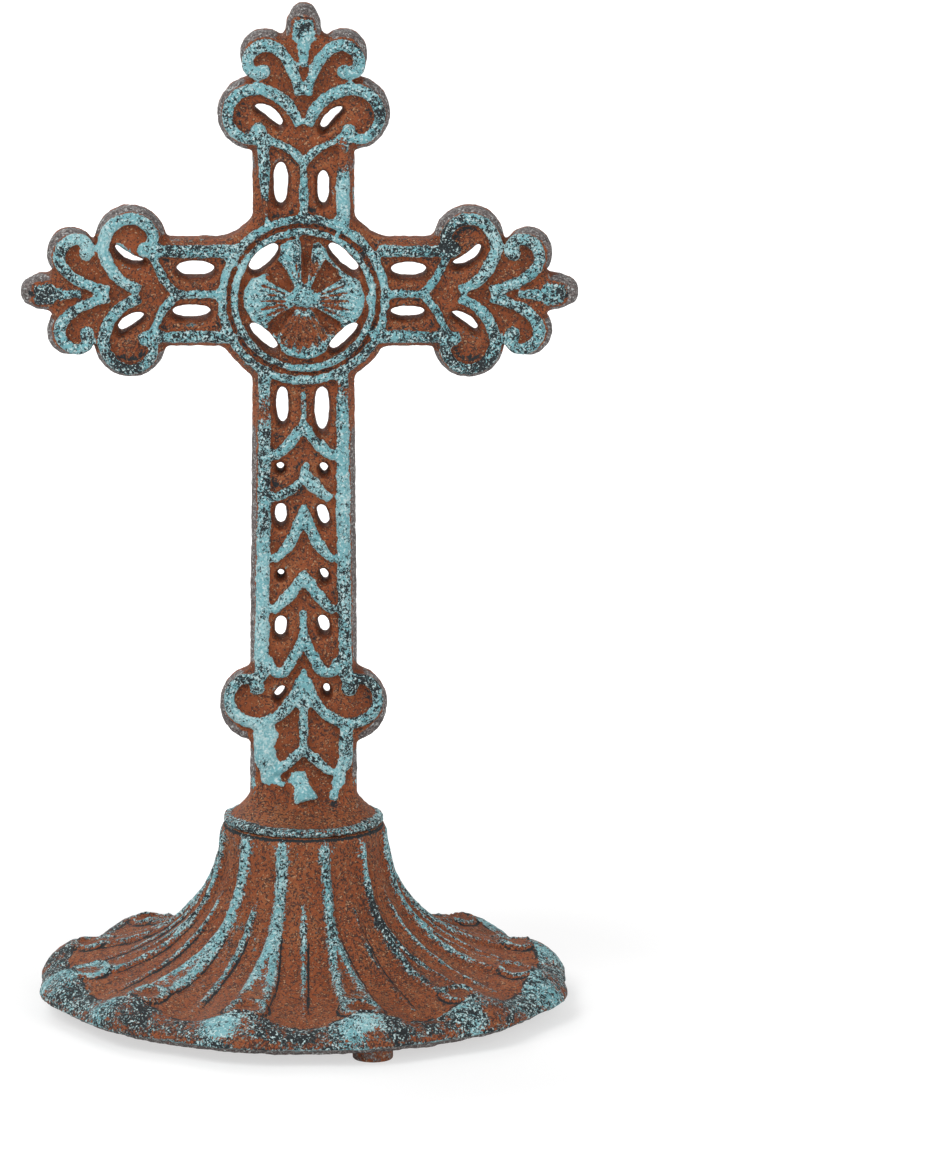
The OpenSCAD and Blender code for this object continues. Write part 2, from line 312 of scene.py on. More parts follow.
def remeshed(piece, size):
    applied(piece, "REMESH", mode="VOXEL", voxel_size=size, adaptivity=0)


def lumps(piece, name, size, strength):
    """Pushes the surface in and out by a cloudy pattern, as a sand mould leaves it."""
    texture = bpy.data.textures.new(name, "CLOUDS")
    texture.noise_scale = size
    texture.noise_depth = 2
    applied(piece, "DISPLACE", texture=texture, texture_coords="LOCAL", strength=strength, mid_level=0.5)
    bpy.data.textures.remove(texture)


def coords(mesh):
    points = np.zeros(len(mesh.vertices) * 3)
    mesh.vertices.foreach_get("co", points)
    return points.reshape(-1, 3)


def normals(mesh):
    values = np.zeros(len(mesh.vertices) * 3)
    mesh.vertices.foreach_get("normal", values)
    return values.reshape(-1, 3)


def put(mesh, points):
    mesh.vertices.foreach_set("co", points.ravel())
    mesh.update()


def softened(mesh, values, rounds):
    """The values averaged over neighbouring vertices, that many times."""
    pairs = np.zeros(len(mesh.edges) * 2, dtype=np.int64)
    mesh.edges.foreach_get("vertices", pairs)
    a, b = pairs.reshape(-1, 2).T
    count = np.bincount(a, minlength=len(values)) + np.bincount(b, minlength=len(values))
    out = values.astype(float)
    columns = out.reshape(len(out), -1)
    for _ in range(rounds):
        new = np.empty_like(columns)
        for k in range(columns.shape[1]):
            near = np.bincount(a, columns[b, k], len(out)) + np.bincount(b, columns[a, k], len(out))
            new[:, k] = (columns[:, k] + near) / (1 + count)
        columns = new
    return columns.reshape(out.shape)


def smooth(x, low, high):
    t = np.clip((x - low) / (high - low), 0, 1)
    return t * t * (3 - 2 * t)


def proud(mesh, rounds):
    """How far each vertex stands out of its surroundings in millimetres, under 0 in hollows."""
    points = coords(mesh)
    return np.einsum("ij,ij->i", points - softened(mesh, points, rounds), normals(mesh))


def write_paint(mesh, **amounts):
    """Stores how much of each paint, and of the painted shade, lies on each vertex, 0 to 1, for the material
    to read.
    """
    for name, amount in amounts.items():
        values = np.clip(np.full(len(mesh.vertices), amount), 0, 1)
        attribute = mesh.attributes.new(name, "FLOAT", "POINT")
        attribute.data.foreach_set("value", values.astype(np.float32))


def to_metres(piece, low, high):
    """Brings a casting from millimetres to metres, and keeps it inside its CAD node's box."""
    points = coords(piece.data) * 0.001
    put(piece.data, np.clip(points, np.array(low), np.array(high)))


def finished(piece, node, material):
    deselect()
    piece.select_set(True)
    bpy.context.view_layer.objects.active = piece
    bpy.ops.object.shade_smooth()
    piece.data.materials.clear()
    piece.data.materials.append(material)
    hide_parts(node)
    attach(piece, "root")


# ---------------------------------------------------------------------------------------------
# The cross
# ---------------------------------------------------------------------------------------------


# how far the large lobes and the buds stand out from an end's middle, and the buds above the lobes
LOBE_OUT, BUD_OUT, BUD_UP = 12.5, 9.8, 14.8
# how far the stem's lobes stand out from its middle, and above the foot's underside
LOW_LOBE_OUT, LOW_LOBE_UP = 11.8, 30.2
# how far the rails stand in from the plate's edge
RAIL_INSET = 0.9


def mirrored(half):
    """A closed outline from the points on its right side, listed from one end to the other."""
    return [(-half[0][0], half[0][1])] + half + [(-x, z) for x, z in half[:0:-1]]


def quadratic(a, b, c, t):
    """A curve from a to c that bends toward b."""
    return (1 - t) ** 2 * a + 2 * t * (1 - t) * b + t * t * c


def plate_parts(s, inset, near, far):
    """The plate's outline as overlapping pieces, each drawn in by inset. The ring's centre is at 0, 0."""
    top, left, right, rise = mm(s.top_reach), mm(s.left_reach), mm(s.right_reach), mm(s.arm_rise)
    neck, arm = mm(s.neck_w) / 2 - inset, mm(s.arm_w) / 2 - inset
    stem, waist = mm(s.stem_w) / 2 - inset, mm(s.waist_w) / 2 - inset
    foot, low = -mm(s.ring_up), -mm(s.ring_up) + LOW_LOBE_UP
    parts = [
        disc(0, 0, mm(s.plate_r) - inset, near, far, n=72),
        slab(mirrored([(neck, 0), (neck, top)]), near, far),
        slab([(-left, rise - arm), (right, rise - arm), (right, rise + arm), (-left, rise + arm)], near, far),
        slab(mirrored([(stem, 0), (waist, low + 9), (waist, foot + 1)]), near, far),
        disc(-LOW_LOBE_OUT, low, mm(s.low_lobe_r) - inset, near, far),
        disc(LOW_LOBE_OUT, low, mm(s.low_lobe_r) - inset, near, far),
    ]
    # webs that sweep from the neck and the stem to the side arms: where each starts, bends and ends
    drawn = inset * 0.7
    webs = (
        ((neck, 21), (13.6 - drawn, 16.4 - drawn), (21, rise + arm)),
        ((stem, -20), (14.4 - drawn, -15 + drawn), (21, rise - arm)),
    )
    for side in (-1, 1):
        for start, bend, end in webs:
            sweep = [
                [quadratic(a, b, c, t) for a, b, c in zip(start, bend, end)] for t in np.linspace(0, 1, 9)
            ]
            parts.append(slab([(side * x, z) for x, z in [(0, 0)] + sweep], near, far))
    tip = [
        (5.2 - inset, 14), (4.4 - inset, 19.6), (4.2 - inset, 23), (3 - inset * 0.8, 25.4),
        (-3 + inset * 0.8, 25.4), (-4.2 + inset, 23), (-4.4 + inset, 19.6), (-5.2 + inset, 14),
    ]
    end = [
        slab(mirrored([(LOBE_OUT, -5.3), (BUD_OUT - inset * 0.4, BUD_UP), (4.2 - inset, 20.5)]), near, far),
        slab(tip, near, far),
        disc(0, 24, 3.4 - inset, near, far, n=24),
    ]
    lobes = [
        disc(LOBE_OUT, 0, mm(s.lobe_r) - inset, near, far),
        disc(BUD_OUT, BUD_UP, mm(s.bud_r) - inset, near, far),
    ]
    return parts + on_ends(joined(end + both_sides(lobes), "end plate"), s)


def arms(s):
    """Reach, width and place of the upper, left and right arms. Each is drawn upward from the ring."""
    raised = Matrix.Translation((0, 0, mm(s.arm_rise)))
    return (
        (mm(s.top_reach), mm(s.neck_w), Matrix.Identity(4)),
        (mm(s.left_reach), mm(s.arm_w), raised @ Matrix.Rotation(-math.pi / 2, 4, "Y")),
        (mm(s.right_reach), mm(s.arm_w), raised @ Matrix.Rotation(math.pi / 2, 4, "Y")),
    )


def on_ends(piece, s):
    """Puts an end, drawn with its large lobes at z = 0 and its tip upward, on the three arms."""
    copies = [copied(piece, place @ Matrix.Translation((0, 0, reach))) for reach, _, place in arms(s)]
    bpy.data.objects.remove(piece)
    return copies


def end_relief(s, crest):
    """Scrolls, balls, tip bud and Y of one lobed end."""
    w = mm(s.rib_w)
    large_scroll = [
        (0.8, -2.4), (3.6, 2.4), (7.6, 5.4), (12, 6.5), (16, 5.2),
        (18.5, 2), (18.7, -1.6), (16.4, -4.8), (13, -5.8), (10.9, -4.3),
    ]
    small_scroll = [
        (0.7, 5.2), (2.2, 10), (4.7, 14.6), (8.4, 17.3), (12, 16.5), (13.8, 13.5), (13, 10.9), (11, 10.2),
    ]
    half = [
        rib(large_scroll, [w, w * 1.25, w * 1.2, w * 1.1, w], crest),
        ball(11.2, -3.9, 4.4, 4.2, crest - 0.1, 2.4),
        rib(small_scroll, [w, w * 1.2, w * 1.15, w], crest),
        ball(10.3, 10.9, 4.6, 4.2, crest - 0.1, 2.4),
        rib([(9.8, -5.2), (7, -6.8), (3.4, -8.6), (0, -11.8)], [1.8, 2.2, 2.5, 2.5], crest + 0.2),
    ]
    bud = [
        rib([(0, 15.4), (0, 18.4), (0, 21.6), (0, 24.6)], [6.2, 10.4, 9, 6], crest - 0.1),
        rib([(0, 12.2), (0, 15.6)], [1.2, 3.4], crest + 0.2),
    ]
    return both_sides(half) + bud


def arm_relief(s, reach, width, crest, left_start):
    """Two rails along an arm and a rib down its middle. left_start is how full the left rail starts."""
    rail, r = mm(s.rail_w), mm(s.ring_r)
    x = width / 2 - RAIL_INSET - rail / 2
    right = [(x, r - 5), (x, reach * 0.7), (x + 0.2, reach - 5)]
    left = [(-x + 1 - left_start, r - 3), (-x, reach * 0.7), (-x - 0.2, reach - 5)]
    return [
        rib(right, [rail, rail * 0.9], crest),
        rib(left, [rail * left_start, rail * 0.8, rail], crest),
        rib([(0, r - 1), (0, reach - 12)], [2.6, 2.3], crest + 0.3),
    ]


def stem_relief(s, crest):
    """Rails, chevrons, the low scrolls and the leaves of the stem."""
    w, rail = mm(s.rib_w), mm(s.rail_w)
    top_x, low_x = (mm(width) / 2 - RAIL_INSET - rail / 2 for width in (s.stem_w, s.waist_w))
    low_scroll = [
        (0.7, -97), (3, -102.6), (6.4, -106), (10.4, -107.8), (15, -107),
        (18, -104.2), (18.4, -100.4), (16, -97), (12.6, -96.6),
    ]
    waist = [(low_x + 0.2, -107), (low_x, -113), (low_x - 0.4, -118), (8.2, -121.6)]
    half = [
        rib([(top_x, -18), (top_x, -40), (top_x + 0.3, -70), (low_x, -97)], [rail], crest),
        rib([(0, -30.6), (1, -33), (3.8, -36.6), (7.8, -40)], [1.2, 3.2, 3.6, 2.6], crest),
        rib([(0, -51.6), (0.9, -56), (3.4, -61.6), (7.6, -66.4)], [1.2, 2.8, 3.6, 2.4], crest),
        rib([(0, -69), (1.3, -72), (4, -75.6), (7.8, -79.4)], [1.2, 3.2, 3.8, 2.4], crest),
        rib([(0, -85.6), (2.6, -91), (6.2, -95), (9, -91.6)], [2.6, 3.4, 3.2, 2.6], crest),
        rib(low_scroll, [w, w * 1.2, w * 1.1, w], crest),
        ball(11.6, -98.8, 4.6, 4.4, crest - 0.1, 2.4),
        rib(waist, [3.6, 4.4, 3.8, 2.2], crest),
        rib([(0, -114.6), (3, -117.4), (7, -120.8)], [2.8, 3.2, 2.2], crest),
    ]
    middle = [
        rib([(0, -23), (0, -32)], [1.6, 2.4], crest + 0.4),
        # the broken chevron
        rib([(1, -41.4), (0.4, -44), (2.4, -47), (6.8, -50.6)], [1.4, 3.4, 3.8, 2.4], crest),
        rib([(-0.8, -45.8), (-3.6, -48.4), (-7.8, -50.4)], [2, 3.4, 2.4], crest),
        rib([(0, -79), (0, -88)], [1.8, 2.6], crest + 0.3),
        rib([(0, -93.6), (0, -98.4), (0, -103.4)], [0.8, 4.8, 6.8], crest + 0.2),
        rib([(0, -104), (0, -116)], [2.6, 2], crest + 0.4),
        # the swelling on the left of the waist
        rib([(-9.6, -107), (-8.6, -111), (-9.2, -114), (-8.2, -118.6)], [4, 6.4, 5, 5.6], crest + 0.2),
        # the leaf and the wedges that stand on the spread of the foot
        rib([(-1.6, -120.2), (-1.2, -123.6), (0.6, -128.6)], [4, 7.6, 8], [crest, crest - 1.2, crest - 5.2]),
        rib([(9.6, -120.8), (8.6, -123.6), (7.2, -127)], [2.2, 4, 2.6], crest + np.array([0.2, -0.8, -3])),
        rib([(-9.6, -119.8), (-8.8, -122.6), (-4.6, -123.8)], [3, 4, 2.2], [crest, crest - 0.7]),
    ]
    return both_sides(half) + middle


# each petal's turn from the top, and its flutes: the turn from the petal's middle, and how far out it reaches
PETALS = {
    0: [(-27, 12.4), (-17, 14.4), (-7, 14.8), (14, 14.6), (24, 13.2)],
    90: [(-25, 12.4), (-14, 14.2), (-4, 14.8), (7, 14.6), (18, 13.8), (28, 12.2)],
    180: [(-33, 11.4), (-22, 12.6), (-11, 13.2), (0, 13.6), (11, 13.2), (22, 12.6), (33, 11.2)],
    270: [(-28, 12.4), (-18, 13.8), (-7, 14.6), (4, 14.8), (14, 14), (25, 12.6)],
}


def between_flutes(x, z):
    """1 in the grooves between the petals' flutes, 0 along each flute and away from the petals."""
    turn = np.degrees(np.arctan2(x, z))
    nearest = np.full(len(x), 180.0)
    for middle, flutes in PETALS.items():
        for lean, _ in flutes:
            nearest = np.minimum(nearest, np.abs((turn - middle - lean + 180) % 360 - 180))
    out = np.hypot(x, z)
    return smooth(nearest, 2, 4.6) * smooth(out, 3.4, 4.6) * smooth(out, 13.6, 10)


def ring_relief(s, crest):
    """The two ridges round the flower, its fluted petals and its boss."""
    r = mm(s.ring_r)
    parts = []
    for major, minor in ((r - 1.2, 1.2), (r - 4.4, 0.95)):
        deselect()
        bpy.ops.mesh.primitive_torus_add(
            major_segments=96, minor_segments=14, major_radius=major, minor_radius=minor,
            location=(0, crest + minor, 0), rotation=(math.pi / 2, 0, 0),
        )
        parts.append(settled(bpy.context.object))
    for turn, flutes in PETALS.items():
        for lean, out in flutes:
            a = math.radians(90 - turn - lean)
            end = 2 * out * math.tan(math.radians(4))
            line = [(far * math.cos(a), far * math.sin(a)) for far in (3, out * 0.6, out)]
            parts.append(rib(line, [0.8, end * 0.75, end], crest))
    # the thick lips at the petals' ends
    for lip in (
        [(-7.6, -8.4), (-5.4, -12), (0, -14), (5.2, -12), (7.6, -8)],
        [(8.6, 6.8), (12, 5.2), (14, 1), (12.8, -4.4), (9.4, -7)],
        [(-8.8, -6.8), (-12.2, -4.6), (-13.8, 0.4), (-12.2, 4.6), (-8.6, 6.4)],
        [(-7, 9.4), (-5, 13), (-1, 14.6)],
        [(3.4, 14), (6.4, 10.6), (10.6, 6.6)],
    ):
        parts.append(rib(lip, [1.4, 2.4, 1.6], crest + 0.2))
    parts.append(disc(0, 0, 10.6, crest + 1.5, 0, near_r=9, n=40))
    parts.append(ball(0, 0.6, 7.8, 5.2, crest - 0.9, 3.4, turn=0.2))
    parts.append(rib([(-0.8, 2), (-2.6, 5.5), (-3.4, 10)], [2, 1.8, 1.6], crest - 0.3))
    return parts


# each arm's two slots (x, z from the ring, wide, long) and two eyes (x, z from the large lobes, wide, long,
# turn in degrees, bow), with the arm drawn upward; no two in a sand casting are alike
ARM_OPENINGS = (
    (
        ((-5.7, 28.6, 3.5, 10.8), (4.9, 27.6, 2.9, 8.8)),
        ((-8.7, -0.7, 2.7, 8.6, -52, 0.8), (7, -1.3, 2.3, 7.8, 43, -0.5)),
    ),
    (
        ((-5.1, 28, 3.5, 9.6), (5.7, 27, 4, 9.4)),
        ((-7.9, -0.2, 2.9, 7.6, -35, 0.6), (9.8, 0, 2, 8.8, 28, -1.2)),
    ),
    (
        ((-5.5, 26.2, 3.7, 9), (5.2, 26, 3, 8.6)),
        ((-9.4, -0.6, 2.4, 8.6, -34, 1), (7.6, -1, 2.3, 8.2, 36, -0.7)),
    ),
)
# between the petals: turn in degrees, wide, long
RING_OPENINGS = ((45, 3.2, 10), (135, 3.9, 9.4), (225, 3.2, 9.2), (315, 3.1, 9.4))
# down the stem in pairs: x, z from the ring, wide, long, turn in degrees
STEM_OPENINGS = (
    (-5.3, -27.4, 3, 9.6, 0), (4.6, -28.4, 3.5, 11.6, 0),
    (-5.8, -43, 1.9, 2.2, 0), (5.1, -43.4, 2, 2.9, -20),
    (-5.7, -55.2, 2.9, 5.6, 0), (4.9, -55.4, 2.7, 5.8, -16),
    (-5.7, -70.2, 1.8, 2.2, 0), (5.2, -70.6, 2, 3.3, -18),
    (-5.7, -84, 3, 5.6, 3), (5.1, -83.4, 2.7, 5, -12),
    (-6, -100.8, 1.8, 3.9, 34), (5.8, -100, 1.7, 3, -8),
)


def openings(s):
    """Cutters for every opening of the cross."""
    cutters = []
    for (reach, _, place), (slots, eyes) in zip(arms(s), ARM_OPENINGS):
        pieces = [hole(x, z - reach, wide, long) for x, z, wide, long in slots]
        pieces += [hole(*eye) for eye in eyes]
        for piece in pieces:
            piece.data.transform(place @ Matrix.Translation((0, 0, reach)))
        cutters += pieces
    for turn, wide, long in RING_OPENINGS:
        a = math.radians(turn)
        cutters.append(hole(14.1 * math.cos(a), 14.1 * math.sin(a), wide, long, -turn, flare=1))
    return cutters + [hole(*row, flare=1.5) for row in STEM_OPENINGS]


def round_foot(s):
    """The stem's spread into a round foot, and the foot's plate with its rounded edge."""
    r, foot = mm(CROSS_HIGH.y), -mm(s.ring_up)
    wide, deep = mm(s.waist_w) / 2 - 0.6, mm(s.back) - 0.6
    deselect()
    bpy.ops.mesh.primitive_uv_sphere_add(segments=72, ring_count=26, radius=1)
    flare = bpy.context.object
    points = coords(flare.data)
    a = np.arctan2(points[:, 1], points[:, 0])
    u = 1 - np.arccos(np.clip(points[:, 2], -1, 1)) / math.pi
    spread = (1 - u) ** 2.4
    # a circle at the foot, squarer towards the stem
    power = 2 / (2 + 4 * u)
    off_pole = (np.hypot(points[:, 0], points[:, 1]) > 1e-4).astype(float)
    x = off_pole * (wide + (r - 1 - wide) * spread) * np.sign(np.cos(a)) * np.abs(np.cos(a)) ** power
    y = off_pole * (deep + (r - 1 - deep) * spread) * np.sign(np.sin(a)) * np.abs(np.sin(a)) ** power
    put(flare.data, np.column_stack([x, y, foot + 1.3 + 9.6 * u]))
    deselect()
    bpy.ops.mesh.primitive_cylinder_add(vertices=96, radius=r - 0.9, depth=2, location=(0, 0, foot + 1))
    plate = settled(bpy.context.object)
    deselect()
    bpy.ops.mesh.primitive_torus_add(
        major_segments=96, minor_segments=12, major_radius=r - 1, minor_radius=1, location=(0, 0, foot + 1)
    )
    return [flare, plate, settled(bpy.context.object)]


def cross_paint(mesh, s, ring_z):
    """Where verdigris, dark iron and grey wear lie on the cross, and where painted shade darkens it, as
    attributes of its vertices.
    """
    facing = normals(mesh)[:, 1]
    x, y, z = coords(mesh).T
    z = z - ring_z
    fine, broad = proud(mesh, 5), proud(mesh, 40)
    from_ring = np.hypot(x, z)
    front, side = smooth(-facing, -0.1, 0.6), smooth(np.abs(facing), 0.8, 0.35)
    petals = smooth(from_ring, 16, 15) * smooth(from_ring, 2.5, 4.5)
    height = smooth(-y - mm(s.face) - 0.2 * petals, 0.45, 1.35)
    foot = smooth(z, -121, -124)
    foot_edge = foot * smooth(np.hypot(x, y), 17.4, 18.6)
    # the grey strip along the outline, which is far from the middle of each end and of the low lobes
    up, left, right, rise = mm(s.top_reach) + 5, -mm(s.left_reach) - 5, mm(s.right_reach) + 5, mm(s.arm_rise)
    middles = ((0, up), (left, rise), (right, rise), (0, -102))
    off = smooth(np.min([np.hypot(x - mx, z - mz) for mx, mz in middles], axis=0), 14, 16.5)
    outer = smooth(y, -3.5, -2.9) * smooth(y, 4, 1.5) * smooth(broad, 0.0, 0.2)
    outer = outer * off * smooth(from_ring, 32, 38) * (1 - foot)
    outer = outer * np.where(z < -30, smooth(np.abs(x), 9.6, 11), 1)
    inside = side * (1 - smooth(broad, 0.0, 0.3)) * (1 - foot)
    # verdigris on what stands up, less in the petals' grooves, at the outline and inside the openings
    verdigris = 0.06 + 0.66 * height * front + 0.3 * np.clip(broad * 1.4, -0.5, 0.5)
    verdigris = verdigris - 0.5 * between_flutes(x, z) * smooth(from_ring, 13, 7)
    verdigris = verdigris * (1 - 0.5 * outer) * (1 - 0.9 * inside)
    # a little along the plain back's edges, and on the foot's leaf, wedges and edge
    verdigris = verdigris + 0.22 * smooth(facing, 0.1, 0.5) * smooth(broad, 0.1, 0.4) * off
    raised = smooth(broad, 0.2, 0.5) * front * (1 - foot_edge)
    verdigris = verdigris * (1 - foot) + foot * (0.08 + 0.42 * foot_edge + 0.6 * raised)
    dark = 0.3 + 0.25 * height
    for px, pz, wide, more, black in CROSS_PATCHES:
        near = np.exp(-((x - px) ** 2 + (z - pz) ** 2) / (wide * wide)) * (1 - inside) * smooth(y, 1.5, -1)
        # more verdigris lies only where there is some
        verdigris = verdigris + more * near * (smooth(verdigris, 0.1, 0.3) if more > 0 else 1)
        dark = dark + black * near
    # dark lines, partly dark paint and partly painted shade: dark in the fine grooves beside the ribs, and a
    # dark spot painted where a small hole's shade is, with no hole cut
    dark_groove_and_shade = smooth(-fine, 0.04, 0.12) * front * (1 - inside) * (1 - foot) * (1 - 0.7 * petals)
    painted_hole_shade = np.exp(-((x - 7.6) ** 2 + (z + 128.4) ** 2) / 3) * front
    line = 0.6 * painted_hole_shade + (0.36 + 0.3 * off) * dark_groove_and_shade * (0.35 + dark) + 0.24 * outer + 0.15 * foot_edge
    # hollow is painted shade: darker brown in the concave places and on the walls inside the openings
    write_paint(
        mesh,
        verdigris=verdigris,
        dark_iron=dark + 0.1 * foot_edge,
        dark_line=line,
        grey_edge=outer,
        hollow=np.clip(-broad * 1.1, 0, 1) * 0.8 + 0.9 * inside,
    )


# worn and thickly painted places: x and z from the ring, how wide, more verdigris and more
# dark iron
CROSS_PATCHES = [
    # upper arm and its end
    (10.4, 25, 3.8, 0.8, -0.5),
    (9, 36, 4.5, -0.75, 0.0),
    (-10.4, 23.5, 3.6, -0.75, 0.0),
    (-9, 34, 5, 0.1, 0.1),
    (0, 41, 3, -0.2, 0.0),
    (0, 69.5, 4, 0.15, 0.35),
    (1, 64, 4, 0.4, -0.25),
    (-11, 57, 4, 0.15, -0.25),
    (12, 57, 4, 0.15, -0.2),
    (15, 64, 5, 0.0, 0.3),
    (20, 47, 5, 0.0, 0.25),
    (-18, 50, 5, 0.0, 0.15),
    (-44, -17, 6, 0.0, 0.35),
    (44, -18, 6, 0.0, 0.35),
    (40, 16, 5, 0.0, 0.35),
    # flower and ring
    (2.4, 8.4, 2.8, -0.7, 0.0),
    (-1.5, 14, 4, 0.3, -0.1),
    (7, 9, 3.5, 0.2, 0.0),
    (0, 0.6, 3, 0.5, -0.1),
    (0, -8, 5.2, -0.8, 0.0),
    (-5, -8.6, 2.4, -0.3, 0.0),
    (5, -8.4, 2.4, -0.3, 0.0),
    (0, -14, 3.6, 0.1, 0.1),
    (7, -0.5, 3.4, -0.5, 0.0),
    (-6, -3, 3, -0.4, 0.0),
    (-13, 0, 4, 0.2, -0.05),
    (13, -1, 3.6, 0.25, -0.05),
    (-15.5, 6.5, 5, 0.3, -0.35),
    (17, 3, 4.5, 0.25, -0.25),
    (0, 20.4, 8, 0.0, 0.15),
    (-12, -15, 6, 0.0, 0.12),
    (15, -14, 6, 0.0, 0.15),
    # stem
    (-11, -28, 5, -0.6, 0.0),
    (10.5, -23, 4, -0.5, 0.0),
    (0, -27, 5, -0.35, 0.0),
    (11, -50, 12, 0.2, -0.25),
    (-11, -50, 8, 0.0, 0.15),
    (-4, -46, 4, -0.25, 0.1),
    (-11, -72, 11, 0.3, -0.3),
    (-11, -88, 6, 0.4, -0.35),
    (-4, -88, 5, -0.2, 0.0),
    (11, -84, 6, 0.1, 0.1),
    # low scrolls and foot
    (16, -97, 5, 0.0, 0.3),
    (-15, -97, 5, 0.0, 0.2),
    (-16, -104, 5, 0.35, -0.3),
    (0, -100, 4, 0.2, -0.1),
    (-10, -113, 5.5, 0.9, -0.6),
    (9, -119, 4, 0.3, -0.2),
    (-1, -124, 4.5, 0.4, -0.4),
    (8.4, -123.6, 3, 0.4, -0.3),
    (-8.6, -122, 3, 0.4, -0.3),
    # side arms
    (-31, 13, 9, 0.0, 0.25),
    (31, 13, 9, 0.0, 0.25),
    (-31, -11, 9, 0.0, 0.1),
    (31, -11, 9, 0.0, 0.2),
    (-52, 16, 8, 0.3, -0.3),
    (-44, 12, 6, 0.3, -0.35),
    (-66, 1.5, 5.5, 0.12, 0.5),
    (65, 1, 5.5, 0.1, 0.3),
    (46, 14, 6, 0.2, -0.2),
    (52, -14, 7, 0.2, 0.05),
]


def cross_solid(s):
    """The plate and all that stands on it, as overlapping closed pieces."""
    face, back = -mm(s.face), mm(s.back)
    crest = face - mm(s.relief)
    # the plate's face is drawn in a little, which leaves a step along its edge
    pieces = plate_parts(s, 0, face + 1.2, back) + plate_parts(s, 0.8, face, face + 2)
    pieces += on_ends(joined(end_relief(s, crest), "end relief"), s)
    for (reach, width, place), left_start in zip(arms(s), (0.3, 1, 1)):
        arm = joined(arm_relief(s, reach, width, crest, left_start), "arm relief")
        pieces.append(copied(arm, place))
        bpy.data.objects.remove(arm)
    return pieces + stem_relief(s, crest) + ring_relief(s, crest) + round_foot(s)


def press_grooves(mesh, deep):
    """Presses in the grooves between the petals' flutes, which the remesh fills."""
    points = coords(mesh)
    facing_front = smooth(-normals(mesh)[:, 1], 0.3, 0.8)
    points[:, 1] += deep * between_flutes(points[:, 0], points[:, 2]) * facing_front
    put(mesh, points)


class OBJECT_OT_table_cross_casting(bpy.types.Operator):
    """Models the openwork cross with its ribs, flower and round foot"""

    bl_idname = "object.table_cross_casting"
    bl_label = "Cross Casting"
    bl_options = {"REGISTER", "UNDO"}

    def execute(self, context):
        s = context.scene.table_cross_sizes
        ring_z, grain, lump = mm(s.ring_up) + mm(CROSS_LOW.z), mm(s.grain), mm(s.lump)
        cross = joined(cross_solid(s), "cross_casting")
        remeshed(cross, grain)
        cutters = joined(openings(s), "openings")
        applied(cross, "BOOLEAN", operation="DIFFERENCE", object=cutters, solver="MANIFOLD")
        bpy.data.objects.remove(cutters)
        remeshed(cross, grain)
        applied(cross, "SMOOTH", factor=0.5, iterations=1)
        press_grooves(cross.data, 0.55)
        lumps(cross, "casting lumps", 5.0, lump * 1.6)
        lumps(cross, "casting grit", 1.5, lump * 1.3)
        cross.data.transform(Matrix.Translation((0, 0, ring_z)))
        triangles = sum(len(polygon.vertices) - 2 for polygon in cross.data.polygons)
        if triangles > MOST_TRIANGLES:
            applied(cross, "DECIMATE", ratio=MOST_TRIANGLES / triangles)
        cross_paint(cross.data, s, ring_z)
        to_metres(cross, CROSS_LOW, CROSS_HIGH)
        finished(cross, "cross", painted_iron("Rust-brown paint and verdigris on sand-cast iron, cross"))
        return {"FINISHED"}


# ---------------------------------------------------------------------------------------------
# The base
# ---------------------------------------------------------------------------------------------


def cubic(a, b, c, d, t):
    """A curve through a and d that leaves toward b and arrives from c."""
    return (1 - t) ** 3 * a + 3 * (1 - t) ** 2 * t * b + 3 * (1 - t) * t * t * c + t**3 * d


def base_profile(s, lobe, part, t):
    """Radius and height of the base's surface: part is 0 top, 1 bell, 2 rim, 3 lip, 4 hollow, 5 roof."""
    high, top, rim_r = mm(BASE_HIGH.z), mm(s.top_r), mm(s.rim_r)
    crest_r, crest_h = rim_r - 8, high * 0.215
    foot, wall = mm(s.foot_h), mm(s.wall)
    lip_r, lip_top = rim_r - mm(s.lip_inset), foot + 2
    radius, height = np.zeros_like(t), np.zeros_like(t)
    for k, (r, z) in {
        0: (t * (top - 0.5), high + 0 * t),
        1: (
            cubic(top, top, top + (crest_r - top) * 0.48, crest_r, t) - 0.5 * (1 - smooth(t, 0, 0.02)),
            cubic(high, high * 0.45, crest_h * 1.22, crest_h, t) + mm(s.wave) * lobe * t**4,
        ),
        2: (
            crest_r + (rim_r - mm(s.scallop) * (1 - lobe) / 2 - crest_r) * np.sin(t * math.pi / 2) ** 1.25,
            lip_top + (crest_h + mm(s.wave) * lobe - lip_top) * np.cos(t * math.pi / 2) ** 1.1,
        ),
        3: (
            np.interp(t, [0, 0.3, 0.75, 1], [lip_r + 0.8, lip_r, lip_r - 0.6, lip_r - 6]),
            np.interp(t, [0, 0.3, 0.75, 1], [lip_top - 0.5, lip_top - 1, foot, foot]),
        ),
        4: (
            cubic(lip_r - 6, top + (crest_r - top) * 0.42, top - wall, top - wall, t),
            cubic(foot, crest_h * 1.3 - wall, high * 0.42 - wall, high - wall, t),
        ),
        5: ((1 - t) * (top - wall), high - wall + 0 * t),
    }.items():
        here = part == k
        radius[here], height[here] = r[here], z[here]
    return radius, height


def bump(d, wide):
    """A rounded ridge: 1 on its line and 0 a little past half its width."""
    return np.exp(-((d / (wide * 0.5)) ** 2))


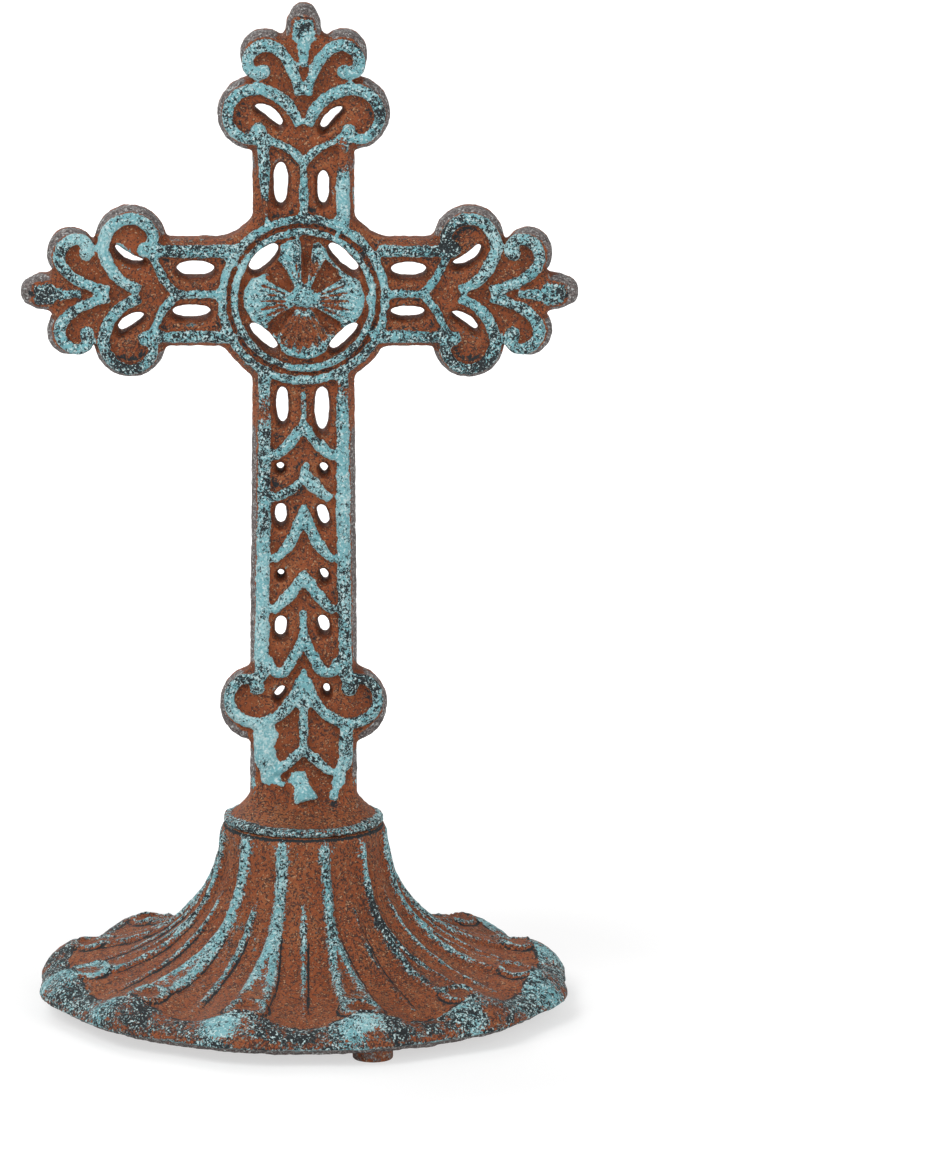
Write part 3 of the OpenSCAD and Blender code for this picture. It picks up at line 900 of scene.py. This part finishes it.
def base_relief(s, a, r, part, t):
    """How far flutes, ovals, tongues and skirts stand out in millimetres, and where paint and dark lines with
    painted shade lie.
    """
    # turn from the nearest lobe's axis and from the nearest valley's axis, as a length round the base
    step = 2 * math.pi / s.lobes
    from_lobe = ((a + math.pi / 2) % step - step / 2) * r
    from_valley = (((a + math.pi / 2) + step / 2) % step - step / 2) * r
    bell, on_rim = part == 1, part == 2
    h, w = mm(s.rib_h), mm(s.rib_w)
    # the main rib leaves the top on each lobe's axis and parts in two round the oval
    part_by = 3.4 * smooth(t, 0.28, 0.84)
    beside = np.abs(from_lobe) - part_by
    main = bump(beside, w * (0.95 + 0.1 * t)) * smooth(t, 0.0, 0.05)
    main = main * (1 - 0.5 * smooth(t, 0.3, 0.9)) * (1 - smooth(t, 0.9, 0.99))
    # a thinner rib rises in each valley from half way down
    valley = bump(from_valley, w * 0.75) * smooth(t, 0.16, 0.34)
    valley = valley * (1 - 0.35 * smooth(t, 0.5, 0.9)) * (1 - smooth(t, 0.9, 0.97))
    # ovals on the lobes: their middle, their half width and length, and their mean radius
    middle, oval_wide, oval_long, oval_r = mm(s.rim_r) - 12.4, 4.6, 4.2, 3.9
    reach = np.hypot(from_lobe / oval_wide, (r - middle) / oval_long)
    oval = bump((reach - 1) * oval_r, 1.3) * (r > middle - 6)
    floor = (reach < 0.9) * 1.0
    plateau = smooth(-beside, -0.4, 0.6) * (1 - smooth(t, 0.8, 0.9))
    raised = h * 1.15 * main + h * 0.8 * valley + 0.75 * oval - 0.45 * floor + 0.35 * plateau
    # soft gutters either side of the ribs
    gutter = 0.3 * bump(beside - w * 0.75, w) * smooth(t, 0.03, 0.1)
    raised = np.where(bell, raised, 0) - np.where(bell, gutter, 0)
    # a tongue in each valley of the rim, and a dip in the middle of each skirt
    tongue = bump(from_valley, 5.2) * bump((t - 0.35) * 3, 1.6)
    skirt = 0.7 * tongue - 0.35 * bump(from_lobe, 9) * bump((t - 0.5) * 2, 1.2)
    raised = raised + np.where(on_rim, skirt, 0)
    paint = np.maximum(main, valley * 0.8) * (1 - 0.35 * smooth(t, 0.6, 0.95)) + 0.5 * oval
    # dark lines, partly dark paint and partly painted shade: to the right of the ribs, round the ovals, along
    # the crest and under the cross's foot
    by_main = bump(beside - w * 0.62, 0.8) * smooth(t, 0.25, 0.5) * (from_lobe > 0)
    by_valley = bump(from_valley - w * 0.45, 0.7) * smooth(t, 0.3, 0.5)
    dark_lines_and_shade = np.maximum(by_main * 0.8, by_valley) * (1 - smooth(t, 0.85, 0.95))
    dark_lines_and_shade = np.maximum(dark_lines_and_shade, bump((reach - 1.32) * oval_r, 0.7) * (r > middle - 6))
    dark_lines_and_shade = np.maximum(dark_lines_and_shade, 1 - smooth(t, 0.004, 0.02))
    crest = np.where(bell, smooth(t, 0.975, 0.995), 0) + np.where(on_rim, 1 - smooth(t, 0.0, 0.1), 0)
    dark_lines_and_shade = np.maximum(np.where(bell, dark_lines_and_shade, 0), crest * (0.55 + 0.2 * np.cos(from_lobe * 0.9)))
    return raised, np.where(bell, paint, 0), dark_lines_and_shade, from_lobe, from_valley


def base_paint(mesh, paint, dark_lines_and_shade, from_lobe, from_valley, part, t, a):
    """Where verdigris, dark iron and grey wear lie on the base, and where painted shade darkens it, as
    attributes of its vertices.
    """
    broad = proud(mesh, 30)
    rim, lip, under = (part == 2) * 1.0, (part == 3) * 1.0, (part > 2) * 1.0
    brown_middle = bump(from_lobe - 0.5, 6.5) * bump((t - 0.55) * 3, 2.2)
    tongue = bump(from_valley, 6) * (1 - smooth(t, 0.55, 0.8))
    verdigris = 0.1 + 0.5 * paint + 0.15 * np.clip(broad * 1.5, -0.4, 0.5)
    # on each skirt, turquoise at the left, brown in the middle, dark iron at the right, and a line by the lip
    on_skirt = 0.26 + 0.26 * bump(from_lobe + 5.6, 7) - 0.2 * brown_middle + 0.1 * bump(from_valley, 12)
    verdigris = verdigris + rim * (on_skirt - 0.14 * smooth(t, 0.6, 0.85) + 0.22 * smooth(t, 0.93, 0.97))
    dark = 0.36 + 0.2 * paint + rim * (0.2 + 0.3 * tongue + 0.32 * bump(from_lobe - 7.5, 7))
    down = np.where(part == 2, 1 + t, t)
    for turn, low, high, wide, more, black in BASE_PATCHES:
        angle = np.abs((a - math.radians(turn) + math.pi) % (2 * math.pi) - math.pi)
        near = np.exp(-((np.degrees(angle) / wide) ** 2)) * smooth(down, low - 0.08, low + 0.08)
        near = near * (1 - smooth(down, high - 0.08, high + 0.08))
        verdigris = verdigris + more * near
        dark = dark + black * near
    # hollow is painted shade: darker brown in the hollows and under the base
    write_paint(
        mesh,
        verdigris=verdigris * (1 - under) + 0.3 * lip * smooth(t, 0.4, 0.1),
        dark_iron=dark * (1 - 0.7 * under),
        dark_line=dark_lines_and_shade * (1 - under) + 0.16 * rim * tongue,
        grey_edge=0.75 * lip + 0.3 * rim * smooth(t, 0.75, 1),
        hollow=np.clip(-broad, 0, 1) + 0.4 * under,
    )


# turn round the base in degrees (-90 is the front), from and to (0 top, 1 crest, 2 foot of the rim), how wide
# in degrees, more verdigris, more dark iron
BASE_PATCHES = [
    (-105, 0.0, 0.75, 5, 0.3, -0.1),
    (-135, 0.0, 0.85, 7, 0.3, 0.0),
    (-120, 0.3, 0.8, 8, 0.1, 0.1),
    (-75, 0.0, 0.9, 6, 0.12, 0.1),
    (-45, 0.2, 0.85, 7, 0.1, 0.35),
    (-60, 0.2, 0.8, 6, -0.2, 0.2),
    (-90, 1.2, 1.9, 5, -0.1, 0.3),
    (-75, 1.1, 1.6, 3.5, 0.3, -0.3),
    (-107, 1.1, 1.7, 3.5, 0.3, -0.3),
    (-135, 1.1, 1.9, 6, 0.1, 0.2),
    (-165, 0.8, 1.9, 9, 0.25, 0.0),
    (-20, 1.0, 1.9, 9, 0.2, 0.1),
    (-120, 1.1, 1.9, 4, -0.15, 0.0),
    (-60, 1.1, 1.9, 4, -0.15, 0.1),
]


def base_feet(s):
    """The three round pads cast under the rim."""
    tall, sunk = mm(s.foot_h), 2
    place = mm(s.rim_r) - mm(s.lip_inset) - 0.5 - mm(s.foot_d) / 2
    feet = []
    for k in range(3):
        turn = s.foot_turn - math.pi / 2 + k * 2 * math.pi / 3
        deselect()
        bpy.ops.mesh.primitive_cylinder_add(
            vertices=40, radius=mm(s.foot_d) / 2, depth=tall + sunk,
            location=(place * math.cos(turn), place * math.sin(turn), (tall + sunk) / 2),
        )
        foot = settled(bpy.context.object)
        applied(foot, "BEVEL", width=0.5, segments=3, limit_method="ANGLE")
        # a little painted shade on the feet under the rim: some darker brown and a faint dark line
        write_paint(foot.data, verdigris=0.1, dark_iron=0.3, dark_line=0.1, grey_edge=0.4, hollow=0.2)
        feet.append(foot)
    return feet


class OBJECT_OT_table_cross_base(bpy.types.Operator):
    """Models the hollow, fluted base with its scalloped rim and its three feet"""

    bl_idname = "object.table_cross_base"
    bl_label = "Base Casting"
    bl_options = {"REGISTER", "UNDO"}

    def execute(self, context):
        s = context.scene.table_cross_base_sizes
        # (part, rings) from the middle of the top, over the rim, to the middle of the hollow's roof
        plan = [(0, 2), (1, 74), (2, 24), (3, 8), (4, 16), (5, 2)]
        rings = sum(count for _, count in plan)
        deselect()
        bpy.ops.mesh.primitive_uv_sphere_add(segments=620, ring_count=rings, radius=1)
        base = bpy.context.object
        points = coords(base.data)
        a = np.arctan2(points[:, 1], points[:, 0])
        row = np.rint(np.arccos(np.clip(points[:, 2], -1, 1)) / math.pi * rings).astype(int)
        parts, steps = [0], [0.0]
        for k, count in plan:
            parts += [k] * count
            # the flat parts and the hollow end on their last ring, the others half a step before it
            steps += list((np.arange(count) + (1 if k in (0, 4, 5) else 0.5)) / count)
        part, t = np.array(parts)[row], np.array(steps)[row]
        lobe = np.cos(s.lobes * (a + math.pi / 2) + math.pi)
        r, z = base_profile(s, lobe, part, t)
        put(base.data, np.column_stack([r * np.cos(a), r * np.sin(a), z]))
        raised, paint, dark_lines_and_shade, from_lobe, from_valley = base_relief(s, a, r, part, t)
        put(base.data, coords(base.data) + normals(base.data) * raised[:, None])
        applied(base, "SMOOTH", factor=0.4, iterations=1)
        lumps(base, "casting lumps", 6.0, 0.6)
        lumps(base, "casting ripples", 2.6, 0.4)
        lumps(base, "casting grit", 1.4, 0.22)
        base_paint(base.data, paint, dark_lines_and_shade, from_lobe, from_valley, part, t, a)
        base = joined([base] + base_feet(s), "base_casting")
        to_metres(base, BASE_LOW, BASE_HIGH)
        finished(base, "base", painted_iron("Rust-brown paint and verdigris on sand-cast iron, base"))
        return {"FINISHED"}


# ---------------------------------------------------------------------------------------------
# Finish
# ---------------------------------------------------------------------------------------------


def node(tree, kind, inputs=None, **settings):
    """Adds a node. Each input takes a value, or the output that feeds it."""
    made = tree.nodes.new(kind)
    for key, value in settings.items():
        setattr(made, key, value)
    for key, value in (inputs or {}).items():
        if isinstance(value, bpy.types.NodeSocket):
            tree.links.new(value, made.inputs[key])
        else:
            made.inputs[key].default_value = value
    return made


# patterns of the paint: blotch size in millimetres, detail, seed and how far it is drawn out into swirls.
# Real sand grit is about 0.3 mm across: grit, fleck and speck are drawn coarser, so that they show.
CLOUDS = {
    "grit": (0.55, 2.0, 0.0, 0.0),
    "fleck": (0.85, 3.0, 3.0, 1.4),
    "speck": (0.6, 1.0, 7.0, 0.0),
    "brush": (2.0, 3.0, 5.0, 0.0),
    "drift": (11.0, 2.0, 1.0, 0.0),
}


def paint_patterns(tree):
    """The outputs of the cloudy patterns, and of the paint and painted shade that the castings' vertices
    carry, by name.
    """
    place = node(tree, "ShaderNodeTexCoord").outputs["Object"]
    patterns = {}
    for name in ("verdigris", "dark_iron", "dark_line", "grey_edge", "hollow"):
        patterns[name] = node(tree, "ShaderNodeAttribute", attribute_name=name).outputs["Fac"]
    for name, (size_mm, detail, seed, swirl) in CLOUDS.items():
        inputs = {"Vector": place, "W": seed, "Scale": 1000.0 / size_mm, "Detail": detail}
        inputs.update({"Roughness": 0.62, "Distortion": swirl})
        patterns[name] = node(tree, "ShaderNodeTexNoise", inputs, noise_dimensions="4D").outputs["Fac"]
    return patterns


def weighed(tree, patterns, weights):
    """The sum of the patterns by weight, each cloudy one taken about its middle of 0.5."""
    total = None
    for name, weight in weights.items():
        terms = {0: patterns[name], 1: weight, 2: -0.5 * weight if name in CLOUDS else 0}
        term = node(tree, "ShaderNodeMath", terms, operation="MULTIPLY_ADD").outputs[0]
        if total is None:
            total = term
        else:
            total = node(tree, "ShaderNodeMath", {0: total, 1: term}, operation="ADD").outputs[0]
    return total


def spread(tree, patterns, weights, low, high, within=None):
    """How thickly a paint lies: 0 to 1 as the patterns' sum goes from low to high, and only within."""
    inputs = {"Value": weighed(tree, patterns, weights), "From Min": low, "From Max": high}
    amount = node(tree, "ShaderNodeMapRange", inputs, interpolation_type="SMOOTHSTEP").outputs["Result"]
    if within is None:
        return amount
    return node(tree, "ShaderNodeMath", {0: amount, 1: within}, operation="MULTIPLY").outputs[0]


def painted(tree, under, *coats):
    """The under colour with coats on it, each a colour and how thickly it lies."""
    for over, amount in coats:
        under = node(tree, "ShaderNodeMix", {0: amount, 6: under, 7: over}, data_type="RGBA").outputs[2]
    return under


def painted_iron(name):
    """Sand-cast iron with matt rust-brown paint, and verdigris brushed over the raised places.

    Flecks of dark iron and brown show through the verdigris.
    """
    c = bpy.context.scene.table_cross_colours
    material = bpy.data.materials.new(name)
    material.use_nodes = True
    tree = material.node_tree
    tree.nodes.clear()
    patterns = paint_patterns(tree)

    def where(low, high, within=None, **weights):
        return spread(tree, patterns, weights, low, high, within)

    # brown paint: lighter where rubbed and away from the hollows, darker in the hollows and openings as
    # painted shade, with a sandy grain of light and dark
    brown = painted(
        tree, c.rust,
        (c.rust_light, where(-0.2, 0.5, drift=1.1, brush=0.7, grit=1.5, hollow=-0.5)),
        (c.rust_in_painted_shade, where(0.1, 0.8, hollow=1.0, brush=0.5, grit=0.9)),
        (c.rust_dark_grain, where(0.0, 0.16, fleck=1.0, speck=0.8, dark_iron=0.15)),
        (c.rust_pale_grain, where(0.09, 0.3, speck=1.0, grit=0.9)),
    )
    # worn grey along the outer edges, with dark and pale grains
    grey = painted(
        tree, c.dust_dark_grain,
        (c.dust, where(-0.12, 0.16, grit=1.0, fleck=1.0)),
        (c.dust_pale_grain, where(0.06, 0.2, speck=1.0, grit=0.6)),
    )
    # verdigris: pale and deep places, where it covers, and the wider places where iron and chalk lie in it
    green = painted(
        tree, c.verdigris,
        (c.verdigris_pale, where(-0.22, 0.32, drift=1.0, brush=0.7, speck=1.0)),
        (c.verdigris_dark, where(0.06, 0.3, brush=1.0, grit=1.2)),
    )
    cover = where(0.36, 0.48, verdigris=1.0, brush=1.0, grit=1.1, drift=0.4)
    near_green = where(0.26, 0.42, verdigris=1.0, brush=0.8, drift=0.4)
    surface = painted(
        tree, brown,
        (grey, where(0.32, 0.6, grey_edge=1.0, fleck=1.0, brush=1.2)),
        (green, cover),
        (c.iron, where(0.306, 0.406, near_green, fleck=1.7, brush=0.7, dark_iron=0.6, drift=0.5)),
        # dark iron colour along the dark lines, which are partly painted shade in the creases and grooves
        (c.iron, where(0.42, 0.56, dark_line=1.0, fleck=1.1, brush=0.9)),
        (c.chalk, where(0.08, 0.17, near_green, speck=1.0, grit=0.5)),
    )
    matt = {"Value": patterns["grit"], "From Min": 0.3, "From Max": 0.7, "To Min": 0.62, "To Max": 0.86}
    rough = node(tree, "ShaderNodeMapRange", matt).outputs["Result"]
    # the sand's grit, and the thickness of the brushed paint
    thickness = {"grit": 0.7, "fleck": 0.7, "brush": 0.5, "cover": 0.2}
    height = weighed(tree, {**patterns, "cover": cover}, thickness)
    bumps = node(tree, "ShaderNodeBump", {"Height": height, "Strength": 1.0, "Distance": 0.00045})
    surface_inputs = {"Base Color": surface, "Roughness": rough, "Normal": bumps.outputs["Normal"]}
    shader = node(tree, "ShaderNodeBsdfPrincipled", surface_inputs)
    node(tree, "ShaderNodeOutputMaterial", {"Surface": shader.outputs["BSDF"]})
    return material


# ---------------------------------------------------------------------------------------------
# Stage
# ---------------------------------------------------------------------------------------------


def lamp(name, size, power, place, aim):
    """A soft square lamp that looks at a point."""
    deselect()
    bpy.ops.object.light_add(type="AREA", location=place)
    light = bpy.context.object
    light.name = name
    light.data.size = size
    light.data.energy = power
    light.rotation_euler = (Vector(aim) - Vector(place)).to_track_quat("-Z", "Y").to_euler()


def background_paper(s):
    """White paper: it takes the shadow, and the camera sees it a little brighter than it is lit."""
    material = bpy.data.materials.new("White background paper")
    material.use_nodes = True
    tree = material.node_tree
    tree.nodes.clear()
    rays = node(tree, "ShaderNodeLightPath").outputs
    seen = rays["Is Camera Ray"]
    for ray in ("Is Glossy Ray", "Is Transmission Ray"):
        seen = node(tree, "ShaderNodeMath", {0: seen, 1: rays[ray]}, operation="MAXIMUM").outputs[0]
    lit = node(tree, "ShaderNodeBsdfDiffuse", {"Color": s.floor})
    # the glow is lower round the foot, so that the soft shadow shows
    place = node(tree, "ShaderNodeTexCoord").outputs["Object"]
    out = node(tree, "ShaderNodeVectorMath", {0: place}, operation="LENGTH").outputs["Value"]
    levels = {"Value": out, "From Min": 0.1, "From Max": 0.35, "To Min": 0.6, "To Max": 1.0}
    level = node(tree, "ShaderNodeMapRange", levels).outputs["Result"]
    glow = node(tree, "ShaderNodeEmission", {"Color": (1, 1, 1, 1), "Strength": level})
    dim = node(tree, "ShaderNodeBsdfDiffuse", {"Color": s.floor_seen})
    glowing = node(tree, "ShaderNodeAddShader", {0: dim.outputs[0], 1: glow.outputs[0]})
    both = node(tree, "ShaderNodeMixShader", {0: seen, 1: lit.outputs[0], 2: glowing.outputs[0]})
    node(tree, "ShaderNodeOutputMaterial", {"Surface": both.outputs[0]})
    return material


def studio_world():
    """Even soft light all round, and a white background for the camera."""
    world = bpy.data.worlds.new("Studio")
    world.use_nodes = True
    tree = world.node_tree
    tree.nodes.clear()
    seen = node(tree, "ShaderNodeLightPath").outputs["Is Camera Ray"]
    ambient = node(tree, "ShaderNodeBackground", {"Color": (1, 1, 1, 1), "Strength": 0.48})
    white = node(tree, "ShaderNodeBackground", {"Color": (1, 1, 1, 1), "Strength": 1.0})
    both = node(tree, "ShaderNodeMixShader", {0: seen, 1: ambient.outputs[0], 2: white.outputs[0]})
    node(tree, "ShaderNodeOutputWorld", {"Surface": both.outputs[0]})
    return world


class OBJECT_OT_table_cross_stage(bpy.types.Operator):
    """Lays the pale floor, and sets the lamps, the world and the camera"""

    bl_idname = "object.table_cross_stage"
    bl_label = "Stage"
    bl_options = {"REGISTER", "UNDO"}

    def execute(self, context):
        s = context.scene.table_cross_stage
        deselect()
        bpy.ops.mesh.primitive_plane_add(size=14, location=(0, 3, 0))
        floor = settled(bpy.context.object)
        floor.name = floor.data.name = "floor"
        floor.data.materials.append(background_paper(s))
        context.scene.world = studio_world()
        lamp("Key", 0.8, 13.5, (-0.9, -0.9, 1.3), (0, 0, 0.1))
        lamp("Fill", 1.2, 8.5, (1.1, -1.3, 0.7), (0, 0, 0.12))
        lamp("Back", 0.7, 6, (-0.5, 1.0, 1.0), (0, 0, 0.1))

        deselect()
        bpy.ops.object.camera_add(location=(0, -s.camera_far, s.camera_up))
        camera = bpy.context.object
        aim = Vector((0, 0, s.aim_up)) - camera.location
        camera.rotation_euler = aim.to_track_quat("-Z", "Y").to_euler()
        camera.data.lens = s.lens
        camera.data.sensor_width = 36
        camera.data.clip_end = 50
        # the cross stands left of the frame's middle and above it
        camera.data.shift_x = 0.14
        camera.data.shift_y = -0.075
        context.scene.camera = camera
        context.scene.view_settings.view_transform = "Standard"
        return {"FINISHED"}


class VIEW3D_PT_table_cross(bpy.types.Panel):
    """Lists the steps that make the cross"""

    bl_label = "Table Cross"
    bl_idname = "VIEW3D_PT_table_cross"
    bl_space_type = "VIEW_3D"
    bl_region_type = "UI"
    bl_category = "Table Cross"

    def draw(self, context):
        column = self.layout.column()
        for operator in OPERATORS:
            column.operator(operator.bl_idname)
        for name, kind in GROUPS.items():
            box = self.layout.box()
            for key in kind.__annotations__:
                box.prop(getattr(context.scene, name), key)


GROUPS = {
    "table_cross_sizes": CrossSizes,
    "table_cross_base_sizes": BaseSizes,
    "table_cross_colours": FinishColours,
    "table_cross_stage": StageSettings,
}
OPERATORS = [OBJECT_OT_table_cross_stage, OBJECT_OT_table_cross_casting, OBJECT_OT_table_cross_base]
CLASSES = list(GROUPS.values()) + OPERATORS + [VIEW3D_PT_table_cross]


def register():
    for kind in CLASSES:
        bpy.utils.register_class(kind)
    for name, group in GROUPS.items():
        setattr(bpy.types.Scene, name, bpy.props.PointerProperty(type=group))


def unregister():
    for name in GROUPS:
        delattr(bpy.types.Scene, name)
    for kind in reversed(CLASSES):
        bpy.utils.unregister_class(kind)


def main():
    register()
    bpy.ops.object.table_cross_stage()
    bpy.ops.object.table_cross_casting()
    bpy.ops.object.table_cross_base()
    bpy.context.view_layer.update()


if __name__ == "__main__":
    main()
